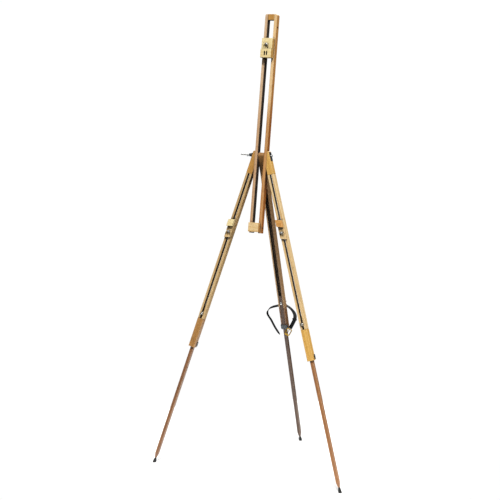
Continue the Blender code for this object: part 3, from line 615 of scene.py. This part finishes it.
def wing_nut_shape(scale=1.0):
    """Seat at Z = 0, wings rising away from it along X. The bore keeps its size."""
    base, top, tall = NUT_BASE_RADIUS * scale, NUT_TOP_RADIUS * scale, NUT_HEIGHT * scale
    bm = turned(
        [
            (NUT_BORE, 0.0005),
            (NUT_BORE + 0.0004, 0.0),
            (base - 0.0004, 0.0),
            (base, 0.0004),
            (base, 0.0016),
            (base - 0.0003, 0.0022),
            (top + 0.0002, tall - 0.0010),
            (top - 0.0002, tall - 0.0003),
            (top - 0.0007, tall),
            (NUT_BORE + 0.0004, tall),
            (NUT_BORE, tall - 0.0005),
        ],
        loop=True,
    )
    # Middle line of a wing: outwards, up, half its breadth, half its thickness
    stations = [
        (0.0034, 0.0044, 0.0030, 0.0012),
        (0.0052, 0.0050, 0.0029, 0.0011),
        (0.0070, 0.0063, 0.0028, 0.0010),
        (0.0084, 0.0082, 0.0029, 0.0010),
        (0.0092, 0.0100, 0.0027, 0.0010),
        (0.0096, 0.0113, 0.0019, 0.0008),
        (0.0098, 0.0121, 0.0007, 0.0004),
    ]
    line = curve_through([(x * scale, 0, z * scale) for x, z, _, _ in stations], 3)
    sizes = curve_through([(b * scale, t * scale, 0) for _, _, b, t in stations], 3)
    for sign in (1, -1):
        rows = []
        for i, point in enumerate(line):
            ahead, behind = line[min(i + 1, len(line) - 1)], line[max(i - 1, 0)]
            along = (ahead - behind).normalized()
            across = Vector((along.z, 0, -along.x))
            row = []
            for k in range(14):
                angle = 2 * math.pi * k / 14
                reach = across * sizes[i].x * math.cos(angle)
                spot = point + reach + Vector((0, sizes[i].y * math.sin(angle), 0))
                row.append(Vector((sign * spot.x, spot.y, spot.z)))
            rows.append(row)
        skin(bm, rows)
    return bm


def threaded(bm, radius, start, end):
    """A shank with a real helical thread between two heights, and a bevelled end."""
    sides, turn_steps, bevel = 24, 5, 0.0004
    rows = []
    steps = max(8, round((end - start) / THREAD_PITCH * turn_steps))
    for i in range(steps + 1):
        z = start + (end - start) * i / steps
        fade = min(1.0, (end - z) / THREAD_PITCH)
        row = []
        for k in range(sides):
            phase = (z / THREAD_PITCH - k / sides) % 1.0
            depth = THREAD_DEPTH * (1 - abs(2 * phase - 1)) + bevel * (1 - fade)
            angle = 2 * math.pi * k / sides
            r = radius - depth
            row.append(Vector((r * math.cos(angle), r * math.sin(angle), z)))
        rows.append(row)
    skin(bm, rows)


def bolt_piece(node, seat, axis, look):
    """A domed bolt on the axis; its thread starts at the nut's seat."""
    low, high, r = span(node, seat, axis)
    base, e = low + BOLT_HEAD, 0.0003
    dome = [(r * 0.12, low), (r * 0.5, low + BOLT_HEAD * 0.08), (r * 0.8, low + BOLT_HEAD * 0.30)]
    dome += [(r * 0.96, low + BOLT_HEAD * 0.62), (r, base - 0.0004), (r - e, base)]
    shank = [(BOLT_RADIUS + e, base), (BOLT_RADIUS, base + 0.0004), (BOLT_RADIUS, 0.0)]
    bm = turned(dome + shank)
    threaded(bm, BOLT_RADIUS, -0.0001, high)
    place = axes_frame(seat, axis, axis.orthogonal())
    piece(f"{node}_detail", bm, look, body(node), [node], place)


def slotted_screw(name, spot, axis, turn, body_name, look, radius, stands_for=()):
    """A slotted screw head that stands proud of a surface at the spot."""
    r, h = radius, radius * SCREW_SHAPE
    profile = [(r * 0.1, h), (r * 0.55, h * 0.90), (r * 0.86, h * 0.55), (r, h * 0.12), (r, -h)]
    groove = block((3 * r, SCREW_SLOT, h), Matrix.Translation((0, 0, h * 1.05)))
    bm = carve(turned(profile, sides=24), [groove])
    place = axes_frame(spot, axis, axis.orthogonal()) @ Matrix.Rotation(turn, 4, "Z")
    piece(name, bm, look, body_name, stands_for, place)


def make_bolts(steel, bright_steel):
    """Every bolt, and the wing nut on it."""
    sets = [
        ("hub_wing_nut", "hub_nut_turn", "hub_bolt"),
        ("clamp_wing_nut", "mast_clamp_nut_turn", "clamp_bolt"),
    ]
    for kind, sides in (("clamp", SIDES), ("holder", FRONT_SIDES)):
        for side in sides:
            name = f"{side}_{kind}"
            sets.append((f"{name}_wing_nut", f"{name}_nut_turn", f"{name}_bolt"))
    for nut, turn, bolt in sets:
        seat, axis = Vector(JOINTS[turn]["pos_m"]), Vector(JOINTS[turn]["axis"])
        place = axes_frame(seat, axis, far_side(nut, seat, axis))
        scale, look = (HUB_NUT_SCALE, steel) if bolt == "hub_bolt" else (1.0, bright_steel)
        shape = wing_nut_shape(scale)
        piece(f"{nut}_detail", shape, look, body(nut), [nut], place)
        bolt_piece(bolt, seat, axis, bright_steel)


def make_hub_washer(look):
    node, hinge = "hub_washer", JOINTS["hub_nut_turn"]
    seat, axis = Vector(hinge["pos_m"]), Vector(hinge["axis"])
    low, high, r = span(node, seat, axis)
    e = WASHER_BEVEL
    profile = [(NUT_BORE, low), (r - e, low), (r, low + e), (r, high - e), (r - e, high)]
    bm = turned([*profile, (NUT_BORE, high)], loop=True, sides=40)
    place = axes_frame(seat, axis, axis.orthogonal())
    piece("hub_washer_detail", bm, look, body(node), [node], place)


def make_lip_screws(look):
    """The two screws in the clamp lip, each on an oblong washer."""
    along, face = stick_frame("mast")
    for name, turn in (("left", 0.2), ("right", 1.4)):
        node = f"clamp_{name}_screw"
        middle = middle_of(node)
        top = span(node, middle, face)[1]
        spot = middle + face * (top - LIP_SCREW_PROUD)
        slotted_screw(
            f"{node}_detail", spot, face, turn, body(node), look, LIP_SCREW_RADIUS, [node]
        )
        front = span("clamp_lip", spot, face)[1]
        place = axes_frame(spot + face * front, face, along)
        piece(f"clamp_{name}_washer", oblong(*LIP_WASHER), look, body(node), (), place)


def make_mast_screws(look):
    """A screw from each side of the mast towards its top block and its foot spacer."""
    along, face = stick_frame("mast")
    depth = sum(extent("mast_left_rail", face)) / 2
    for (node, drop), turn in zip(MAST_SCREW_DROPS.items(), (0.5, -0.3)):
        height = sum(extent(node, along)) / 2 - drop
        for sign, side in ((-1, "left"), (1, "right")):
            out = Vector((sign, 0, 0))
            reach = extent(f"mast_{side}_rail", out)[1]
            spot = out * reach + along * height + face * depth
            name = f"{node}_{side}_screw"
            slotted_screw(name, spot, out, turn * sign, "mast", look, MAST_SCREW_RADIUS)


def make_plate_screws(look):
    """Two screws low down in the plate on each front leg's head."""
    turn_per_metre = 70
    for side, sign in (("left", -1), ("right", 1)):
        along, face = stick_frame(side)
        out = along.cross(face)
        if out.x * sign < 0:
            out = -out
        node = f"{side}_head_plate"
        middle = middle_of(node)
        top = span(node, middle, out)[1]
        start = span(node, middle, along)[0]
        for step, above in PLATE_SCREW_HEIGHTS.items():
            height = start + above
            spot = middle + out * top + along * height
            name, turn = f"{side}_plate_{step}_screw", turn_per_metre * height
            slotted_screw(name, spot, out, turn, body(node), look, PLATE_SCREW_RADIUS)


def make_guide_nails(look):
    """Two domed nails through each tab of the clips at the ends of the outer legs."""
    r = NAIL_RADIUS
    dome = [(r * 0.1, r * 0.5), (r * 0.7, r * 0.35), (r, 0.0), (r, -r)]
    for side in SIDES:
        along, face = stick_frame(side)
        node = f"{side}_leg_guide"
        middle = middle_of(node)
        for sign, tab in ((-1, "a"), (1, "b")):
            out = along.cross(face).normalized() * sign
            top = span(node, middle, out)[1]
            for step, height in NAIL_HEIGHTS.items():
                spot = middle + out * top + along * height + face * NAIL_FORWARD
                name = f"{side}_guide_{step}_nail_{tab}"
                place = axes_frame(spot, out, along)
                piece(name, turned(dome, sides=16), look, body(node), (), place)


def make_tips(look):
    """Ribbed rubber tips, cut off level with the floor."""
    for side in SIDES:
        node = f"{side}_rubber_tip"
        along = stick_frame(side)[0]
        centre = end_centre(node, along, 1e-5)
        to_floor = centre.z / along.z
        profile = [(0.0030, 0.0), (0.0036, -0.0002), (0.0039, -0.0009), (0.0043, -0.0030)]
        for i in range(TIP_RIBS):
            z = -0.0044 - TIP_RIB_STEP * i
            r = 0.0046 + TIP_RIB_GROWTH * i
            profile += [(r, z), (r + 0.0004, z - 0.0004), (r + 0.0004, z - 0.0013)]
            profile += [(r, z - 0.0017)]
        profile += [(0.0062, -0.0146), (0.0065, -0.0160), (0.0065, -to_floor - 0.004)]
        bm = turned(profile, sides=36)
        place = axes_frame(centre, along, along.orthogonal())
        bmesh.ops.transform(bm, matrix=place, verts=bm.verts)
        for v in bm.verts:
            if v.co.z < 0:
                v.co -= along * (v.co.z / along.z)
        piece(f"{side}_tip_detail", bm, look, body(node), [node])


# Strap --------------------------------------------------------------------------------------


def strap_rows(run, hang):
    """(centre, along, across, up) at each point of the strap's run."""
    peg = stick_frame("rear")[1]
    rows = []
    for i, (*centre, share, twist) in enumerate(run):
        ahead, behind = run[min(i + 1, len(run) - 1)], run[max(i - 1, 0)]
        along = (Vector(ahead[:3]) - Vector(behind[:3])).normalized()
        across = (peg * share + Vector((0, 1, 0)) * (1 - share)).normalized()
        across = (across - along * across.dot(along)).normalized()
        across = Matrix.Rotation(math.radians(twist), 3, along) @ across
        rows.append((hang + Vector(centre), along, across, along.cross(across)))
    return rows


def strap_section(row, half_width, half_thick):
    """A rounded, slightly crowned section of leather."""
    centre, _, across, up = row
    points = []
    outline = [(1.0, 0.0), (0.97, 0.62), (0.88, 0.93), (0.5, 1.0), (0.0, 1.04)]
    outline += [(-x, y) for x, y in outline[-2::-1]]
    outline += [(-x, -y) for x, y in outline[1:-1]]
    for x, y in outline:
        points.append(centre + across * half_width * x + up * half_thick * y)
    return points


def strap_hang():
    """The point of the strap's middle line that lies on top of its screw."""
    up_leg, peg = stick_frame("rear")
    foot = extent("strap_screw", peg)[0]
    above = sum(extent("strap_screw", up_leg)) / 2 + STRAP_SCREW_RADIUS + STRAP_THICKNESS / 2
    return peg * (foot + STRAP_BEHIND_LEG + STRAP_WIDTH / 2) + up_leg * (above + STRAP_PLAY)


def make_strap(look):
    """The strap, its tail tapered and punched, and the keeper that the buckle's end is held by."""
    rows = strap_rows(curve_through(STRAP_RUN, STRAP_STEPS), strap_hang())
    half_w, half_t = STRAP_WIDTH / 2, STRAP_THICKNESS / 2
    sections, travelled = [], 0.0
    for i, row in enumerate(rows):
        travelled += (row[0] - rows[max(i - 1, 0)][0]).length
        grown = math.sin(min(1.0, travelled / TAIL_TAPER) * math.pi / 2)
        taper = min(1.0, TAIL_TIP + (1 - TAIL_TIP) * grown)
        sections.append(strap_section(row, half_w * taper, half_t))
    bm = bmesh.new()
    skin(bm, sections)
    holes = []
    for index in HOLE_ROWS:
        centre, along, _, up = rows[index]
        hole = turned([(HOLE_RADIUS, HOLE_DEPTH), (HOLE_RADIUS, -HOLE_DEPTH)], sides=16)
        place = axes_frame(centre, up, along)
        bmesh.ops.transform(hole, matrix=place, verts=hole.verts)
        holes.append(hole)
    bm = carve(bm, holes)
    piece("strap_detail", bm, look, body("leather_strap"), ["leather_strap"], sharp=50)
    make_keeper(look, rows[KEEPER_ROW])


def make_keeper(look, row):
    """A loop of leather round the strap, square with rounded corners."""
    centre, along, across, up = row
    wide, thick = STRAP_WIDTH / 2 + 0.0016, STRAP_THICKNESS / 2 + 0.0014
    squareness = 0.35
    half_t, half_w = KEEPER_THICKNESS / 2, KEEPER_WIDTH / 2
    sections = []
    for i in range(KEEPER_SIDES):
        angle = 2 * math.pi * i / KEEPER_SIDES
        c, s = math.cos(angle), math.sin(angle)
        x = math.copysign(abs(c) ** squareness, c) * wide
        y = math.copysign(abs(s) ** squareness, s) * thick
        point = centre + across * x + up * y
        out = (point - centre).normalized()
        edges = ((1, -1), (1, 1), (-1, 1), (-1, -1))
        sections.append([point + along * a * half_w + out * b * half_t for a, b in edges])
    bm = bmesh.new()
    skin(bm, sections, loop=True)
    piece("strap_keeper", bm, look, body("leather_strap"))


def make_strap_screw(steel):
    """A round-headed slotted screw; Z = 0 is the top of its head."""
    node = "strap_screw"
    axis = stick_frame("rear")[1]
    centre = end_centre(node, axis, 1e-4)
    start = span(node, centre, axis)[0]
    head, shank, under = STRAP_SCREW_HEAD, STRAP_SCREW_RADIUS, -0.0026
    profile = [(0.0005, 0.0), (0.0018, -0.0001), (0.0034, -0.0009), (head, -0.0020)]
    profile += [(head, -0.0025), (head - 0.0003, under), (shank, under), (shank, start)]
    groove = block((0.012, 0.0010, 0.0012), Matrix.Translation((0, 0, -0.0002)))
    bm = carve(turned(profile), [groove])
    place = axes_frame(centre, axis, Vector((1, 0.4, 0)))
    piece("strap_screw_detail", bm, steel, body(node), [node], place)


def buckle_place():
    """X along the hinge bar, Y across the opening, and Z on the side where the prong lies."""
    hinge = JOINTS["buckle_swing"]
    origin, across = Vector(hinge["pos_m"]), Vector(hinge["axis"])
    prong = [p - origin for p in corners("buckle_prong")]
    furthest = max(prong, key=lambda p: p.length)
    outward = (furthest - across * furthest.dot(across)).normalized()
    rise = across.cross(outward)
    if sum(prong, Vector()).dot(rise) < 0:
        rise = -rise
    # The prong's tip is higher than the bars' middle, so the frame leans back from it
    lean = math.atan2(BUCKLE_BAR, BUCKLE_LENGTH)
    turn = Matrix.Rotation(-lean if across.cross(outward).dot(rise) > 0 else lean, 3, across)
    place = Matrix((across, turn @ outward, turn @ rise)).transposed().to_4x4()
    place.translation = origin
    return place


def rounded_loop(half_width, low, high, low_radius, high_radius, steps=5):
    """Points round a rectangle with rounded corners, in X and Y."""
    path = []
    for cx, cy, r, start in (
        (half_width - high_radius, high - high_radius, high_radius, 0),
        (high_radius - half_width, high - high_radius, high_radius, 90),
        (low_radius - half_width, low + low_radius, low_radius, 180),
        (half_width - low_radius, low + low_radius, low_radius, 270),
    ):
        for i in range(steps + 1):
            angle = math.radians(start + 90 * i / steps)
            path.append(Vector((cx + r * math.cos(angle), cy + r * math.sin(angle), 0)))
    return path


def make_buckle(brass):
    """A cast frame of round bar with a roller, and a prong with its eye round the hinge bar."""
    place = buckle_place()
    bar = BUCKLE_BAR / 2
    half, reach = BUCKLE_WIDTH / 2 - bar, BUCKLE_LENGTH - bar
    path = rounded_loop(half, 0, reach, BUCKLE_HINGE_CORNER, BUCKLE_CORNER)
    bm = bmesh.new()
    tube(bm, path, [bar * 0.98] * len(path), loop=True)
    frame_body = body("buckle_frame")
    piece("buckle_frame_detail", bm, brass, frame_body, ["buckle_frame"], place)

    r, wide = bar * ROLLER_SCALE, half - BUCKLE_CORNER
    profile = [(bar, -wide), (r * 0.94, -wide), (r, -wide * 0.93), (r, wide * 0.93)]
    bm = turned([*profile, (r * 0.94, wide), (bar, wide)], loop=True)
    roller = place @ Matrix.Translation((0, reach, 0)) @ Matrix.Rotation(math.pi / 2, 4, "Y")
    piece("buckle_roller", bm, brass, frame_body, (), roller)

    r = PRONG_RADIUS
    around = bar + r + PRONG_PLAY
    angles = [math.radians(a) for a in range(-290, 1, 29)]
    path = [Vector((0, around * math.sin(a), around * math.cos(a))) for a in angles]
    rises = ((0.006, 0.0003), (0.012, 0.0001), (0.0165, 0.0009), (0.0192, 0.0010))
    path += [Vector((0, y, around + rise)) for y, rise in rises]
    radii = [r] * (len(path) - 2) + [r * 0.9, r * 0.55]
    bm = bmesh.new()
    tube(bm, path, radii)
    piece("buckle_prong_detail", bm, brass, body("buckle_prong"), ["buckle_prong"], place)


# Wood ---------------------------------------------------------------------------------------

# Tone of each wooden node, by the part of its name that follows the side
LEG_TONES = {
    "left": {
        "leg_head": "amber",
        "leg_left_rail": "sand",
        "leg_right_rail": "sand",
        "leg_lower_block": "toffee",
        "extension": "dusk_leg",
    },
    "right": {
        "leg_head": "honey",
        "leg_left_rail": "straw",
        "leg_right_rail": "straw",
        "leg_lower_block": "honey",
        "extension": "tan_leg",
    },
    # Painted shade on the rear leg, with its right rail painted lit
    "rear": {
        "leg_head": "rear_head",
        "leg_left_rail": "rear_rail",
        "leg_right_rail": "rear_rail_lit",
        "leg_lower_block": "rear_block",
        "extension": "rear_leg",
    },
}
MAST_TONES = {
    "mast_left_rail": "rose",
    "mast_right_rail": "cream",
    "mast_top_block": "amber",
    "mast_foot_spacer": "amber",
    "mast_foot_ledge": "straw",
    "clamp_block": "butter",
    "clamp_lip": "butter",
    "clamp_back_plate": "honey",
}
HOLDER_TONES = {"left": ("straw", "butter"), "right": ("straw", "orange")}  # plate, ledge
MAST_INWARD = {"mast_left_rail": 1, "mast_right_rail": -1}  # the way to the other rail, along X
MAST_LOWER_DARKENING = {"mast_left_rail": 0.5, "mast_right_rail": 1.0}
TWINS = {"leg_left_rail": "leg_right_rail", "leg_right_rail": "leg_left_rail"}
PLAIN_METAL = ("hub_bush", "left_head_plate", "right_head_plate")
PLAIN_METAL += tuple(f"{side}_leg_guide" for side in SIDES)
LEVEL_PIECES = ("mast_foot_ledge", "clamp_block", "clamp_lip", "clamp_back_plate")


def grain_matrix(side, level=False):
    """Turns object space so that Z is along the fibres of that leg or of the mast."""
    along, face = stick_frame(side)
    across = along.cross(face).normalized()
    rows = (along, -face, across) if level else (across, -face, along)
    made = Matrix(rows)
    if made.determinant() < 0:
        made[1] = -made[1]
    return made


def paint_wood():
    """A material for every wooden node. The order is fixed, as it gives each piece its seed."""
    seed = 1
    for node, tone in MAST_TONES.items():
        grain = grain_matrix("mast", node in LEVEL_PIECES)
        way = MAST_INWARD.get(node)
        inward = Vector((way, 0, 0)) if way else None
        flank = Vector((-1 if node == "mast_left_rail" else 1, 0, 0))
        lower_darkening = MAST_LOWER_DARKENING.get(node, 0.0)
        give(node, wood(f"wood_{node}", tone, grain, seed, inward, flank, lower_darkening))
        seed += 1
    for side in SIDES:
        grain = grain_matrix(side)
        for part, tone in LEG_TONES[side].items():
            inward = towards_twin(side, part) if part in TWINS else None
            give(f"{side}_{part}", wood(f"wood_{side}_{part}", tone, grain, seed, inward))
            seed += 1
        for part, tone in zip(("plate", "ledge"), HOLDER_TONES.get(side, ())):
            node = f"{side}_holder_{part}"
            grain = grain_matrix(side, part == "ledge")
            give(node, wood(f"wood_{node}", tone, grain, seed))
            seed += 1


def towards_twin(side, part):
    """The way from a leg's rail to its twin, across the leg."""
    along, face = stick_frame(side)
    across = along.cross(face)
    twin_middle = sum(extent(f"{side}_{TWINS[part]}", across))
    return across if twin_middle > sum(extent(f"{side}_{part}", across)) else -across


def give(node, look):
    """Puts a material in every slot of a CAD node's object."""
    obj = NODES[node]
    if not obj.material_slots:
        obj.data.materials.append(look)
    for slot in obj.material_slots:
        slot.link = "OBJECT"
        slot.material = look


# Stage --------------------------------------------------------------------------------------


def make_stage():
    """A round of white paper; past its edge the studio is as white."""
    bm = bmesh.new()
    bmesh.ops.create_circle(bm, cap_ends=True, segments=96, radius=FLOOR_RADIUS)
    mesh = bpy.data.meshes.new("floor")
    bm.to_mesh(mesh)
    bm.free()
    floor = bpy.data.objects.new("floor", mesh)
    floor.location.z = -FLOOR_DROP
    made, tree, shader = new_material("floor_paper")
    local = tree.add("TexCoord").outputs["Object"]
    colour = tree.mix(tree.noise(local, 3.0), rgb("#f7f7f6"), rgb("#fbfbfa"))
    tree.put(shader.inputs["Base Color"], colour)
    shader.inputs["Roughness"].default_value = 0.9
    mesh.materials.append(made)
    bpy.context.scene.collection.objects.link(floor)


def make_world():
    """White to the camera; to the object a soft sky above and a dim room below."""
    world = bpy.data.worlds.new("studio")
    world.use_nodes = True
    tree = Nodes(world.node_tree)
    back = world.node_tree.nodes["Background"]
    direction = tree.add("SeparateXYZ")
    tree.put(direction.inputs[0], tree.add("TexCoord").outputs["Generated"])
    level = tree.spread(direction.outputs["Z"], -0.1, 0.9, 0.02, 0.55)
    ray = tree.add("LightPath").outputs["Is Camera Ray"]
    shown = tree.math("MULTIPLY", ray, 1.02)
    hidden = tree.math("MULTIPLY", tree.math("SUBTRACT", 1.0, ray), level)
    back.inputs["Color"].default_value = (1, 1, 1, 1)
    tree.put(back.inputs["Strength"], tree.math("ADD", shown, hidden))
    bpy.context.scene.world = world


def sun(name, towards, strength, softness):
    """A sun shining in a direction, its disc as many degrees wide as the softness."""
    data = bpy.data.lights.new(name, "SUN")
    data.energy = strength
    data.angle = math.radians(softness)
    obj = bpy.data.objects.new(name, data)
    obj.rotation_euler = Vector(towards).to_track_quat("-Z", "Y").to_euler()
    bpy.context.scene.collection.objects.link(obj)


def make_lights():
    sun("key", (-0.25, 0.55, -0.80), 3.7, 14)
    sun("side_fill", (-0.85, 0.20, -0.45), 1.1, 40)
    sun("back_fill", (0.25, -0.80, -0.50), 1.3, 40)


def make_camera():
    data = bpy.data.cameras.new("camera")
    data.lens = CAMERA_LENS
    data.clip_end = CAMERA_REACH
    obj = bpy.data.objects.new("camera", data)
    side, back = math.sin(CAMERA_AZIMUTH), -math.cos(CAMERA_AZIMUTH)
    obj.location = (side * CAMERA_DISTANCE, HUB.y + back * CAMERA_DISTANCE, CAMERA_HEIGHT)
    obj.rotation_euler = (CAMERA_TILT, 0, CAMERA_TURN)
    bpy.context.scene.collection.objects.link(obj)
    bpy.context.scene.camera = obj
    bpy.context.scene.view_settings.view_transform = "Standard"


def main():
    steel = metal("zinc_steel", "#8b9092", "#585d60", 0.34)
    dark_steel = metal("blackened_steel", "#121211", "#080807", 0.62)
    bright_steel = metal("nickel_steel", "#dcdcd8", "#a3a5a6", 0.22)
    brass = metal("brass_cast", "#cfa93a", "#8c6a1c", 0.42, 0.6)
    black_leather, black_rubber = leather("leather_black"), rubber("rubber_black")
    paint_wood()
    make_bolts(steel, bright_steel)
    make_hub_washer(steel)
    make_lip_screws(dark_steel)
    make_mast_screws(dark_steel)
    make_plate_screws(steel)
    make_guide_nails(bright_steel)
    make_tips(black_rubber)
    make_strap(black_leather)
    make_strap_screw(bright_steel)
    make_buckle(brass)
    guide_steel = metal("dull_steel", "#6f7476", "#45494b", 0.42)
    for node in PLAIN_METAL:
        give(node, guide_steel)
    make_stage()
    make_world()
    make_lights()
    make_camera()


main()
